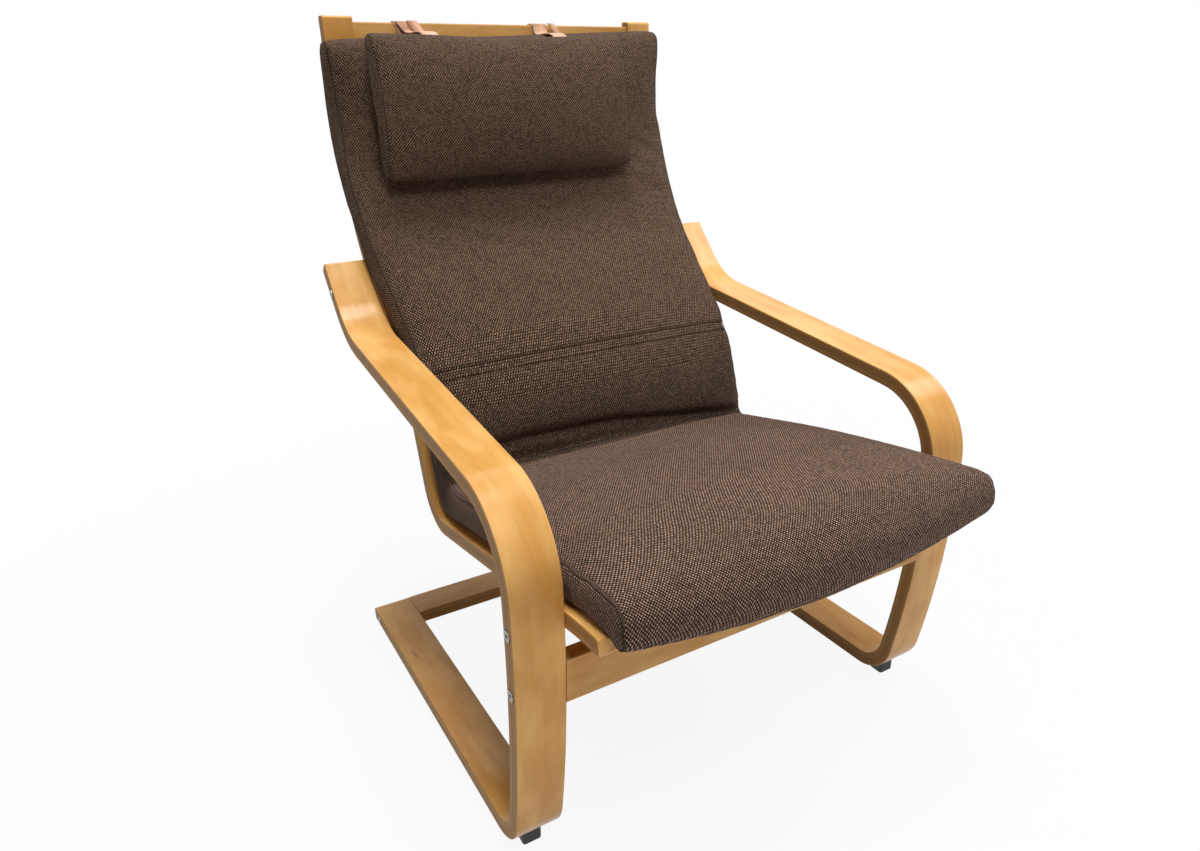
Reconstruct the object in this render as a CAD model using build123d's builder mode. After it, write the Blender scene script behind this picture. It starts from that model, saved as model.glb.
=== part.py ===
"""Cantilever armchair of bent laminated wood with a loose cushion and a strapped head pillow.

Millimetres. +X is the sitter's left, the front faces -Y and +Z is up. The origin lies on the floor,
in the middle of the chair's width and depth. Left and right in the names of the pieces are as seen from
the front.
"""

import os
from math import atan2, copysign, cos, degrees, radians, sin, sqrt

from build123d import *

os.makedirs("parts", exist_ok=True)

# Whole chair
overall_width = 680.0
runner_rear = 380.0
wood_arris = 2.0
end_round = 4.0

# Arm frames: laminated strips bent into a C
frame_width = 62.0
frame_thick = 22.0
foot_height = 12.0
runner_length = 576.0
bottom_radius = 58.0
bottom_turn = 75.0
leg_length = 332.0
leg_bow = 12.0
front_radius = 100.0
rear_radius = 130.0
tip_before_bolt = 27.0
tip_after_bolt = 48.0

# Seat and back rails: laminated strips bent into an L, inside the arm frames
rail_width = 44.0
rail_thick = 22.0
front_slope = -2.5
front_straight = 15.0
nose_radius = 508.0
nose_turn = 6.75
seat_length = 424.0
seat_radius = 56.0
seat_turn = 86.5
lumbar_length = 113.0
lumbar_radius = 142.0
lumbar_turn = 28.75
back_length = 140.0
shoulder_radius = 387.0
shoulder_turn = 44.0
head_length = 115.5

# Places of the bolts along the bent strips
seat_bolt_up_leg = 295.0
seat_bolt_from_rail_front = 87.0
front_bolt_up_leg = 214.0
arm_bolt_below_shoulder = 1.0

# Cross rails
cross_width = 62.0
cross_thick = 22.0
top_rail_height = 60.0
top_rail_thick = 15.0
top_rail_drop = 8.0
top_rail_setback = 4.0
lower_rail_height = 50.0
lower_rail_thick = 12.0
lower_rail_up = 12.0

# Connector bolts, barrel nuts and dowels
bolt_radius = 3.0
bolt_clearance = 0.25
bolt_reach = 30.0
bolt_end_gap = 2.0
head_radius = 7.5
head_height = 4.0
head_sink = 3.0
head_clearance = 0.5
socket_radius = 2.3
socket_depth = 2.5
nut_radius = 5.0
nut_length = 14.0
nut_depth = 20.0
nut_clearance = 0.05
dowel_radius = 4.0
dowel_length = 36.0
dowel_spacing = 36.0
dowel_clearance = 0.05
thin_dowel_radius = 3.0
thin_dowel_spacing = 30.0

# Feet and their screws
foot_width = 25.0
foot_length = 24.0
foot_corner = 4.0
foot_taper = 3.0
front_foot_ahead = 22.0
rear_foot_inset = 14.0
screw_radius = 1.75
screw_length = 16.0
screw_head_radius = 3.6
screw_head_height = 2.5
screw_sink = 1.5
screw_clearance = 0.05

# Support sling and its edge strips
sling_thick = 1.6
sling_below_face = 6.0
sling_front_inset = 16.0
sling_top_gap = 14.0
strip_width = 8.0
strip_thick = 4.4
strip_clearance = 0.3
strip_recess = 1.5

# Seat and back cushion
soft_gap = 0.4
cushion_side_gap = 6.0
cushion_edge_thick = 48.0
cushion_crown_thick = 63.0
cushion_overhang = 40.0
cushion_nose_round = 20.0
cushion_lip_edge = 10.0
cushion_lip_crown = 36.0
cushion_lip_flat = 2.0
cushion_lip_gap = 1.0
cushion_seat_crown = 8.0
cushion_top_gap = 22.0
cushion_end_round = 16.0
seam_up_arc = 36.0
seam_width = 16.0
seam_depth = 4.0

# Head pillow and its straps
pillow_past_left_strap = 82.0
pillow_past_right_strap = 105.0
pillow_reach = 228.0
pillow_top_gap = 5.0
pillow_edge_thick = 44.0
pillow_end_thick = 34.0
pillow_end_trim = 4.0
pillow_end_bulge = 9.0
pillow_face_bulge = 8.0
pillow_crown = 12.0
strap_width = 25.0
strap_thick = 2.5
strap_gap = 0.3
strap_corner = 2.0
hinge_gap = 0.35
tail_gap = 0.6
left_strap_from_post = 74.0
right_strap_from_post = 168.0

sides = ((-1, "left"), (1, "right"))


def unit(angle):
    """Unit vector in the side view at an angle from rearwards, counted upwards."""
    return Vector(cos(radians(angle)), sin(radians(angle)))


def left(angle):
    """Unit vector to the left of a heading: up from a seat, forwards from a back."""
    return unit(angle + 90)


def advance(point, angle, step):
    """End point and heading after one straight step (length, 0) or one bent step (radius, turn)."""
    size, turn = step
    if turn == 0:
        return point + unit(angle) * size, angle
    chord = 2 * size * sin(radians(abs(turn)) / 2)
    return point + unit(angle + turn / 2) * chord, angle + turn


def step_length(step):
    size, turn = step
    return size if turn == 0 else size * radians(abs(turn))


def line_length(line):
    return sum(step_length(step) for step in line[2])


def part_of(step, share):
    """The first share of a step."""
    size, turn = step
    return (size, turn * share) if turn * share else (size * share, 0)


def clip(line, begin, end):
    """The stretch of a line between two distances along it."""
    point, angle, steps = line
    start, kept, done = None, [], 0.0
    for step in steps:
        length = step_length(step)
        low = max(begin - done, 0.0)
        high = min(end - done, length)
        if high > low:
            start = start or advance(point, angle, part_of(step, low / length))
            kept.append(part_of(step, (high - low) / length))
        point, angle = advance(point, angle, step)
        done += length
    return (*start, kept)


def place(line, distance):
    """Point and heading at a distance along a line."""
    point, angle, steps = line
    for step in steps:
        length = step_length(step)
        point, angle = advance(point, angle, part_of(step, min(distance / length, 1)))
        distance = max(distance - length, 0)
    return point, angle


def place_beside(line, distance, offset):
    """Point at a distance along a line and an offset to its left."""
    point, angle = place(line, distance)
    return point + left(angle) * offset


def draw_beside(line, offset):
    """Draws the curve that runs at an offset to the left of a line, and gives its two ends."""
    point, angle, steps = line
    first = here = point + left(angle) * offset
    for size, turn in steps:
        point, end_angle = advance(point, angle, (size, turn))
        there = point + left(end_angle) * offset
        if turn == 0:
            Line(here, there)
        else:
            radius = size - offset * copysign(1, turn)
            middle, _ = advance(here, angle, (radius, turn / 2))
            ThreePointArc(here, middle, there)
        here, angle = there, end_angle
    return first, here


def draw_band(line, low, high):
    """Draws the closed outline between two offsets beside a line."""
    low_first, low_last = draw_beside(line, low)
    high_first, high_last = draw_beside(line, high)
    Line(low_last, high_last)
    Line(low_first, high_first)


def draw_end(line, distance, way, low, high, radius):
    """Draws a squared end with rounded corners, facing back (-1) or on (1) along a line."""
    point, angle = place(line, distance)
    out = unit(angle) * way
    up = left(angle)
    slant = radius * (1 - sqrt(0.5))
    for edge, inward in ((low, up), (high, -up)):
        corner = point + up * edge
        ThreePointArc(corner - out * radius, corner + (inward - out) * slant, corner + inward * radius)
    Line(point + up * (low + radius), point + up * (high - radius))


def draw_strip(line, low, high, radius):
    """Draws the closed outline between two offsets beside a line, with rounded ends."""
    length = line_length(line)
    straight = clip(line, radius, length - radius)
    draw_beside(straight, low)
    draw_beside(straight, high)
    draw_end(line, 0, -1, low, high, radius)
    draw_end(line, length, 1, low, high, radius)


def crossing(point, angle, other, other_angle):
    """Where a straight line through a point meets a second one."""
    across = left(other_angle)
    reach = (other - point).dot(across) / unit(angle).dot(across)
    return point + unit(angle) * reach


def save(builder, name):
    builder.part.label = name
    export_step(builder.part, f"parts/{name}.step")


# Side view of the arm frame from the runner's rear end to the top of the leg
runner_mid = foot_height + frame_thick / 2
leg_step = (leg_length / radians(leg_bow), -leg_bow)
lower_steps = [(runner_length, 0), (bottom_radius, -bottom_turn), leg_step]
lower_line = (Vector(runner_rear, runner_mid), 180.0, lower_steps)
leg_top, leg_top_angle = place(lower_line, line_length(lower_line))
leg_start = runner_length + bottom_radius * radians(bottom_turn)

# The rail crosses the leg at the seat bolt
seat_bolt, _ = place(lower_line, leg_start + seat_bolt_up_leg)
front_bolt, front_bolt_angle = place(lower_line, leg_start + front_bolt_up_leg)
rail_steps = [
    (front_straight, 0),
    (nose_radius, -nose_turn),
    (seat_length, 0),
    (seat_radius, seat_turn),
    (lumbar_length, 0),
    (lumbar_radius, -lumbar_turn),
    (back_length, 0),
    (shoulder_radius, shoulder_turn),
    (head_length, 0),
]
nose_line = (Vector(0, 0), front_slope, rail_steps)
rail_front = seat_bolt - place(nose_line, seat_bolt_from_rail_front)[0]
rail_line = (rail_front, front_slope, rail_steps)
rail_length = line_length(rail_line)
lumbar_start = sum(step_length(step) for step in rail_steps[:4])
shoulder_start = sum(step_length(step) for step in rail_steps[:7])
seat_bolt_angle = place(rail_line, seat_bolt_from_rail_front)[1]

# The armrest runs straight between the front bend and the bend that turns up along the back
arm_bolt, tip_angle = place(rail_line, shoulder_start - arm_bolt_below_shoulder)
tip_start = arm_bolt - unit(tip_angle) * tip_before_bolt
front_centre = leg_top - left(leg_top_angle) * front_radius
rear_centre = tip_start + left(tip_angle) * rear_radius
between = rear_centre - front_centre
both_radii = front_radius + rear_radius
arm_length = sqrt(between.length**2 - both_radii**2)
arm_angle = degrees(atan2(between.Y, between.X) - atan2(both_radii, arm_length))
arm_steps = lower_steps + [
    (front_radius, arm_angle - leg_top_angle),
    (arm_length, 0),
    (rear_radius, tip_angle - arm_angle),
    (tip_before_bolt + tip_after_bolt, 0),
]
arm_line = (lower_line[0], lower_line[1], arm_steps)

# Stations across the width
frame_mid_x = (overall_width - frame_width) / 2
frame_inner_x = overall_width / 2 - frame_width
rail_mid_x = frame_inner_x - rail_width / 2
rail_inner_x = frame_inner_x - rail_width
head_seat_x = overall_width / 2 - head_sink
nut_x = frame_inner_x - nut_depth
cushion_half = frame_inner_x - cushion_side_gap
left_strap_x = left_strap_from_post - rail_inner_x
right_strap_x = rail_inner_x - right_strap_from_post
pillow_left_x = left_strap_x - pillow_past_left_strap
pillow_right_x = right_strap_x + pillow_past_right_strap

# Rear cross rail, flush with the runner's end
rear_bolt = Vector(runner_rear - cross_width / 2, runner_mid)
bolt_points = (
    (arm_bolt, tip_angle),
    (seat_bolt, seat_bolt_angle),
    (front_bolt, front_bolt_angle),
    (rear_bolt, 0.0),
)

# Cross rail dowels lie on both sides of the bolt along the plank's width
leg_dowels = [front_bolt + unit(front_bolt_angle) * way * dowel_spacing / 2 for way in (-1, 1)]
runner_dowels = [rear_bolt + Vector(way * dowel_spacing / 2, 0) for way in (-1, 1)]

# Top rail and lower back rail, in the straight head and lumbar stretches of the rails
top_rail_end = rail_length - top_rail_drop
top_rail_line = clip(rail_line, top_rail_end - top_rail_height, top_rail_end)
top_rail_face = rail_thick / 2 - top_rail_setback
lower_rail_begin = lumbar_start + lower_rail_up
lower_rail_line = clip(rail_line, lower_rail_begin, lower_rail_begin + lower_rail_height)
lower_rail_back = -rail_thick / 2


def plank_dowels(line, offset):
    """Two dowel centres in a plank, on its middle line at an offset beside the rail's line."""
    middle = line_length(line) / 2
    marks = [place(line, middle + way * thin_dowel_spacing / 2) for way in (-1, 1)]
    return [point + left(angle) * offset for point, angle in marks]


top_dowels = plank_dowels(top_rail_line, top_rail_face - top_rail_thick / 2)
lower_dowels = plank_dowels(lower_rail_line, lower_rail_back + lower_rail_thick / 2)

# Sling line in the rails' grooves
sling_offset = rail_thick / 2 - sling_below_face
sling_line = clip(rail_line, sling_front_inset, top_rail_end - top_rail_height - sling_top_gap)
groove_half = strip_thick / 2 + strip_clearance
strip_outer_x = rail_inner_x + strip_recess + strip_width
groove_depth = strip_recess + strip_width + strip_clearance


def across(x, point, facing):
    """Plane square to X at a point of the side view, facing outwards (1) or inwards (-1) in X."""
    return Plane(origin=(x, point.X, point.Y), x_dir=(0, 1, 0), z_dir=(facing, 0, 0))


def beside(x, point, angle):
    """Plane whose normal points along a direction of the side view."""
    normal = unit(angle)
    return Plane(origin=(x, point.X, point.Y), x_dir=(1, 0, 0), z_dir=(0, normal.X, normal.Y))


bolt_hole = bolt_radius + bolt_clearance
nut_hole = nut_radius + nut_clearance
dowel_hole = dowel_radius + dowel_clearance
thin_dowel_hole = thin_dowel_radius + dowel_clearance

# Front feet stand under the bottom bends, rear feet under the runners' ends
front_foot_y = runner_rear - runner_length - front_foot_ahead
rear_foot_y = runner_rear - rear_foot_inset - foot_length / 2
foot_rows = (("front_feet", front_foot_y), ("rear_feet", rear_foot_y))
foot_top = foot_height + frame_thick / 2


def soften(builder, radius):
    """Rounds the arrises round the two side faces of a bent strip."""
    by_x = builder.faces().sort_by(Axis.X)
    fillet(by_x[0].outer_wire().edges() + by_x[-1].outer_wire().edges(), radius)


def arm_frame_outline(side):
    """Side view of one arm frame, in the middle of its width."""
    with BuildSketch(Plane.YZ.offset(side * frame_mid_x)) as outline:
        with BuildLine():
            draw_strip(arm_line, -frame_thick / 2, frame_thick / 2, end_round)
        make_face()
    return outline.sketch


# Arm frames
for side, hand in sides:
    with BuildPart() as arm_frame:
        extrude(arm_frame_outline(side), amount=frame_width / 2, both=True)
        with Locations(*[across(side * overall_width / 2, point, side) for point, _ in bolt_points]):
            CounterBoreHole(bolt_hole, head_radius + head_clearance, head_sink, frame_width)
        with Locations(*[across(side * frame_inner_x, point, -side) for point in leg_dowels + runner_dowels]):
            Hole(dowel_hole, dowel_length / 2)
        for name, foot_y in foot_rows:
            with BuildSketch(Plane.XY.offset(screw_sink)):
                with Locations((side * frame_mid_x, foot_y)):
                    Circle(screw_radius + screw_clearance)
            extrude(amount=screw_length + screw_clearance, mode=Mode.SUBTRACT)
        soften(arm_frame, wood_arris)
    save(arm_frame, f"{hand}_arm_frame")

# Feet, shaped to the underside of the arm frames
for name, foot_y in foot_rows:
    with BuildPart() as feet:
        for side, hand in sides:
            with BuildSketch():
                with Locations((side * frame_mid_x, foot_y)):
                    RectangleRounded(foot_width, foot_length, foot_corner)
            extrude(amount=foot_top, taper=-foot_taper)
        for side, hand in sides:
            with BuildSketch():
                with Locations((side * frame_mid_x, foot_y)):
                    Circle(screw_head_radius + screw_clearance)
            extrude(amount=screw_sink + screw_head_height, mode=Mode.SUBTRACT)
            with BuildSketch():
                with Locations((side * frame_mid_x, foot_y)):
                    Circle(screw_radius + screw_clearance)
            extrude(amount=foot_top, mode=Mode.SUBTRACT)
            extrude(arm_frame_outline(side), amount=frame_width / 2, both=True, mode=Mode.SUBTRACT)
    save(feet, name)

with BuildPart() as foot_screws:
    for name, foot_y in foot_rows:
        for side, hand in sides:
            with BuildSketch(Plane.XY.offset(screw_sink)):
                with Locations((side * frame_mid_x, foot_y)):
                    Circle(screw_head_radius)
            extrude(amount=screw_head_height)
            with BuildSketch(Plane.XY.offset(screw_sink)):
                with Locations((side * frame_mid_x, foot_y)):
                    Circle(screw_radius)
            extrude(amount=screw_length)
save(foot_screws, "foot_screws")

# Seat and back rails
for side, hand in sides:
    with BuildPart() as rail:
        with BuildSketch(Plane.YZ.offset(side * rail_mid_x)):
            with BuildLine():
                draw_strip(rail_line, -rail_thick / 2, rail_thick / 2, end_round)
            make_face()
        extrude(amount=rail_width / 2, both=True)
        with BuildSketch(Plane.YZ.offset(side * rail_inner_x)):
            with BuildLine():
                draw_band(sling_line, sling_offset - groove_half, sling_offset + groove_half)
            make_face()
        extrude(amount=side * groove_depth, mode=Mode.SUBTRACT)
        with Locations(*[across(side * frame_inner_x, point, side) for point, _ in bolt_points[:2]]):
            Hole(bolt_hole, bolt_reach)
        for point, angle in bolt_points[:2]:
            with Locations(beside(side * nut_x, point - left(angle) * rail_thick / 2, angle - 90)):
                Hole(nut_hole, (rail_thick + nut_length) / 2)
        with Locations(*[across(side * rail_inner_x, point, -side) for point in top_dowels + lower_dowels]):
            Hole(thin_dowel_hole, dowel_length / 2)
        soften(rail, wood_arris)
    save(rail, f"{hand}_seat_rail")

# Cross rails between the legs and between the runners
cross_rails = (
    ("front_cross_rail", front_bolt, front_bolt_angle, leg_dowels),
    ("rear_cross_rail", rear_bolt, 0.0, runner_dowels),
)
for name, middle, angle, dowel_points in cross_rails:
    with BuildPart() as cross_rail:
        with BuildSketch(Plane.YZ):
            with Locations(middle):
                Rectangle(cross_width, cross_thick, rotation=angle)
        extrude(amount=frame_inner_x, both=True)
        fillet(cross_rail.edges().filter_by(Axis.X), wood_arris)
        for side, hand in sides:
            with Locations(across(side * frame_inner_x, middle, side)):
                Hole(bolt_hole, bolt_reach)
            with Locations(beside(side * nut_x, middle - left(angle) * cross_thick / 2, angle - 90)):
                Hole(nut_hole, (cross_thick + nut_length) / 2)
            with Locations(*[across(side * frame_inner_x, point, side) for point in dowel_points]):
                Hole(dowel_hole, dowel_length / 2)
    save(cross_rail, name)

# Top rail and lower back rail between the seat rails
thin_rails = (
    ("top_rail", top_rail_line, top_rail_face - top_rail_thick, top_rail_face, top_dowels),
    ("lower_back_rail", lower_rail_line, lower_rail_back, lower_rail_back + lower_rail_thick, lower_dowels),
)
for name, line, back, face, dowel_points in thin_rails:
    with BuildPart() as thin_rail:
        with BuildSketch(Plane.YZ):
            with BuildLine():
                draw_band(line, back, face)
            make_face()
        extrude(amount=rail_inner_x, both=True)
        fillet(thin_rail.edges().filter_by(Axis.X), wood_arris)
        for side, hand in sides:
            with Locations(*[across(side * rail_inner_x, point, side) for point in dowel_points]):
                Hole(thin_dowel_hole, dowel_length / 2)
    save(thin_rail, name)

# Connector bolts, one through each arm frame at every joint
bolt_length = frame_width - head_sink + bolt_reach - bolt_end_gap
with BuildPart() as bolts:
    for side, hand in sides:
        for point, _ in bolt_points:
            seat = across(side * head_seat_x, point, side)
            with BuildSketch(seat):
                Circle(head_radius)
            extrude(amount=head_height)
            with BuildSketch(seat):
                Circle(bolt_radius)
            extrude(amount=-bolt_length)
            with BuildSketch(seat.offset(head_height)):
                RegularPolygon(socket_radius, 6, major_radius=False)
            extrude(amount=-socket_depth, mode=Mode.SUBTRACT)
save(bolts, "connector_bolts")

# Barrel nuts, each crossing the end of its bolt
with BuildPart() as nuts:
    for side, hand in sides:
        for point, angle in bolt_points:
            with BuildSketch(beside(side * nut_x, point, angle - 90)):
                Circle(nut_radius)
            extrude(amount=nut_length / 2, both=True)
            with BuildSketch(across(side * nut_x, point, side)):
                Circle(bolt_radius + nut_clearance)
            extrude(amount=nut_radius * 2, both=True, mode=Mode.SUBTRACT)
save(nuts, "barrel_nuts")

# Dowels at both ends of every cross rail
dowel_rows = (
    ("front_rail_dowels", leg_dowels, frame_inner_x, dowel_radius),
    ("rear_rail_dowels", runner_dowels, frame_inner_x, dowel_radius),
    ("top_rail_dowels", top_dowels, rail_inner_x, thin_dowel_radius),
    ("lower_rail_dowels", lower_dowels, rail_inner_x, thin_dowel_radius),
)
for name, points, joint_x, radius in dowel_rows:
    with BuildPart() as dowels:
        for side, hand in sides:
            for point in points:
                with BuildSketch(across(side * joint_x, point, side)):
                    Circle(radius)
                extrude(amount=dowel_length / 2 - dowel_clearance, both=True)
    save(dowels, name)

# Support sling, stretched between the two edge strips
for side, hand in sides:
    with BuildPart() as strip:
        with BuildSketch(Plane.YZ.offset(side * strip_outer_x)):
            with BuildLine():
                draw_band(sling_line, sling_offset - strip_thick / 2, sling_offset + strip_thick / 2)
            make_face()
        extrude(amount=-side * strip_width)
    save(strip, f"{hand}_sling_strip")

with BuildPart() as sling:
    with BuildSketch(Plane.YZ):
        with BuildLine():
            draw_band(sling_line, sling_offset - sling_thick / 2, sling_offset + sling_thick / 2)
        make_face()
    extrude(amount=strip_outer_x - strip_width, both=True)
save(sling, "support_sling")

# Seat and back cushion: side views at stations across the width, thickest in the middle
cushion_base = rail_thick / 2 + soft_gap
cushion_lead = (cushion_overhang + front_straight, 0)
cushion_head = (head_length - cushion_top_gap, 0)
cushion_steps = [cushion_lead, *rail_steps[1:-1], cushion_head]
cushion_front = rail_front - unit(front_slope) * cushion_overhang
cushion_line = (cushion_front, front_slope, cushion_steps)
cushion_length = line_length(cushion_line)
lumbar_low = cushion_overhang + lumbar_start
lumbar_high = lumbar_low + lumbar_length
seat_mid = lumbar_low - seat_radius * radians(seat_turn) - seat_length / 2
seam_at = lumbar_high + seam_up_arc


def draw_cushion_side(thick, lip):
    """Side view of the cushion at one thickness, with a lip that hangs down in front of the rails."""
    face = cushion_base + thick
    lip_back = cushion_overhang - cushion_lip_gap
    lip_line = clip(cushion_line, cushion_nose_round, cushion_nose_round + cushion_lip_flat)
    draw_end(cushion_line, 0, -1, cushion_base - lip, face, cushion_nose_round)
    draw_end(cushion_line, cushion_length, 1, cushion_base, face, cushion_end_round)
    _, lip_low = draw_beside(lip_line, cushion_base - lip)
    lip_high, _ = draw_beside(clip(cushion_line, lip_back, cushion_length - cushion_end_round), cushion_base)
    Line(lip_low, lip_high)
    seat_angle = place(cushion_line, seat_mid)[1]
    seat_first = place_beside(cushion_line, cushion_nose_round, face)
    lumbar_last = place_beside(cushion_line, lumbar_high, face)
    fold = crossing(place_beside(cushion_line, seat_mid, face), seat_angle, lumbar_last, seat_angle + seat_turn)
    ThreePointArc(seat_first, (seat_first + fold) / 2 + left(seat_angle) * cushion_seat_crown, fold)
    Line(fold, lumbar_last)
    _, seam_low = draw_beside(clip(cushion_line, lumbar_high, seam_at - seam_width / 2), face)
    above_seam = clip(cushion_line, seam_at + seam_width / 2, cushion_length - cushion_end_round)
    seam_high, _ = draw_beside(above_seam, face)
    seam_bottom = place_beside(cushion_line, seam_at, face - seam_depth)
    Line(seam_low, seam_bottom)
    Line(seam_bottom, seam_high)


cushion_stations = (
    (-cushion_half, cushion_edge_thick, cushion_lip_edge),
    (0, cushion_crown_thick, cushion_lip_crown),
    (cushion_half, cushion_edge_thick, cushion_lip_edge),
)
with BuildPart() as cushion:
    for x, thick, lip in cushion_stations:
        with BuildSketch(Plane.YZ.offset(x)):
            with BuildLine():
                draw_cushion_side(thick, lip)
            make_face()
    loft()
save(cushion, "cushion")

# Head pillow: flat at the back, lying across the hollow of the cushion's upper part
pillow_face = cushion_base + cushion_crown_thick + soft_gap
pillow_top_at = cushion_length - pillow_top_gap
pillow_top = place_beside(cushion_line, pillow_top_at, pillow_face)
pillow_low = place_beside(cushion_line, pillow_top_at - pillow_reach, pillow_face)
pillow_up = (pillow_top - pillow_low).normalized()
pillow_out = Vector(-pillow_up.Y, pillow_up.X)
pillow_stations = (
    (pillow_left_x, pillow_end_trim, pillow_end_thick, 0),
    ((pillow_left_x + pillow_right_x) / 2, 0, pillow_edge_thick, pillow_crown),
    (pillow_right_x, pillow_end_trim, pillow_end_thick, 0),
)
with BuildPart() as pillow:
    for x, trim, thick, crown in pillow_stations:
        rear_low = pillow_low + pillow_up * trim
        rear_top = pillow_top - pillow_up * trim
        face_low = rear_low + pillow_out * thick
        face_top = rear_top + pillow_out * thick
        face_bulge = pillow_out * (crown + pillow_face_bulge)
        end_bulge = pillow_up * pillow_end_bulge
        with BuildSketch(Plane.YZ.offset(x)):
            with BuildLine():
                Line(rear_low, rear_top)
                ThreePointArc(rear_top, (rear_top + face_top) / 2 + end_bulge, face_top)
                ThreePointArc(face_top, (face_top + face_low) / 2 + face_bulge, face_low)
                ThreePointArc(face_low, (face_low + rear_low) / 2 - end_bulge, rear_low)
            make_face()
    loft()
save(pillow, "head_pillow")

# Leather straps: a loop round the top rail, and a tail from the loop to the top of the pillow
loop_low = top_rail_end - top_rail_height - strap_gap
loop_high = top_rail_end + strap_gap
loop_back = top_rail_face - top_rail_thick - strap_gap
loop_face = top_rail_face + strap_gap
hinge_offset = loop_face + strap_thick + hinge_gap + strap_thick / 2
hinge = place_beside(rail_line, loop_high + strap_thick / 2, hinge_offset)
tail_rise = pillow_end_bulge + tail_gap + strap_thick / 2
tail_end = pillow_top + pillow_out * pillow_edge_thick / 2 + pillow_up * tail_rise
tail_way = (tail_end - hinge).normalized()
tail_side = Vector(-tail_way.Y, tail_way.X) * strap_thick / 2
for strap_x, hand in ((left_strap_x, "left"), (right_strap_x, "right")):
    with BuildPart() as loop:
        with BuildSketch(Plane.YZ.offset(strap_x)):
            with BuildLine():
                outside = clip(rail_line, loop_low - strap_thick, loop_high + strap_thick)
                draw_band(outside, loop_back - strap_thick, loop_face + strap_thick)
            outer = make_face()
            fillet(outer.vertices(), strap_corner)
            with BuildLine():
                draw_band(clip(rail_line, loop_low, loop_high), loop_back, loop_face)
            make_face(mode=Mode.SUBTRACT)
        extrude(amount=strap_width / 2, both=True)
    save(loop, f"{hand}_strap_loop")

    with BuildPart() as tail:
        with BuildSketch(Plane.YZ.offset(strap_x)):
            with BuildLine():
                Line(hinge + tail_side, tail_end + tail_side)
                Line(tail_end + tail_side, tail_end - tail_side)
                Line(tail_end - tail_side, hinge - tail_side)
                ThreePointArc(hinge - tail_side, hinge - tail_way * strap_thick / 2, hinge + tail_side)
            make_face()
        extrude(amount=strap_width / 2, both=True)
    save(tail, f"{hand}_strap_tail")
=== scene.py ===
# %% [markdown]
# # A bentwood armchair
# The chair has two arm frames and two seat rails of bent laminated wood, a one-piece cushion in a coarse
# basket weave, and a head pillow that hangs from the top rail on leather straps. The CAD frame already
# holds every rigid piece in its place, so this lesson gives the wood, steel and plastic their finishes,
# and then makes the soft pieces: cushion, pillow, straps and sling.

import math

import bpy
import numpy as np
from mathutils import Matrix, Vector
from mathutils.bvhtree import BVHTree


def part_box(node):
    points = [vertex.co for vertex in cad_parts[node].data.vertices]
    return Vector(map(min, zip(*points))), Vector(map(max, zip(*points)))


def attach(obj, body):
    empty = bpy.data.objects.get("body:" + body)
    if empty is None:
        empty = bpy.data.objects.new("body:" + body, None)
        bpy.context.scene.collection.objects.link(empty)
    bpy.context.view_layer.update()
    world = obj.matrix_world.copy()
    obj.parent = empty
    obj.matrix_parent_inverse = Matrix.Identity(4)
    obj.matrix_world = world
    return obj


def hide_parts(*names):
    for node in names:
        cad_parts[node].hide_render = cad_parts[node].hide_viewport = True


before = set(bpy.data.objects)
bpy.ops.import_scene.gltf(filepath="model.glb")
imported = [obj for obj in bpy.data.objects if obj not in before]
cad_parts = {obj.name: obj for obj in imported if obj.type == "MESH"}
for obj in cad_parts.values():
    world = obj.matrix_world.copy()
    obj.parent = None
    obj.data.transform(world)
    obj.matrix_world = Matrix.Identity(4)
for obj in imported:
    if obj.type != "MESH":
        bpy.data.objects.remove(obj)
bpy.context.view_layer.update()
MM = 0.001

# %% [markdown]
# ## Lines of the bent wood
# A laminated strip is straight in places and bent to a radius in others. Grain runs along the strip, so a
# finish needs to know how far along it each point lies. This helper holds the side view of a strip as
# steps and gives, for any point, the distance along the strip and the height above its middle.


# %% Bent line
def towards(angle):
    """The side-view direction at an angle."""
    return np.array([math.cos(angle), math.sin(angle)])


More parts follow.
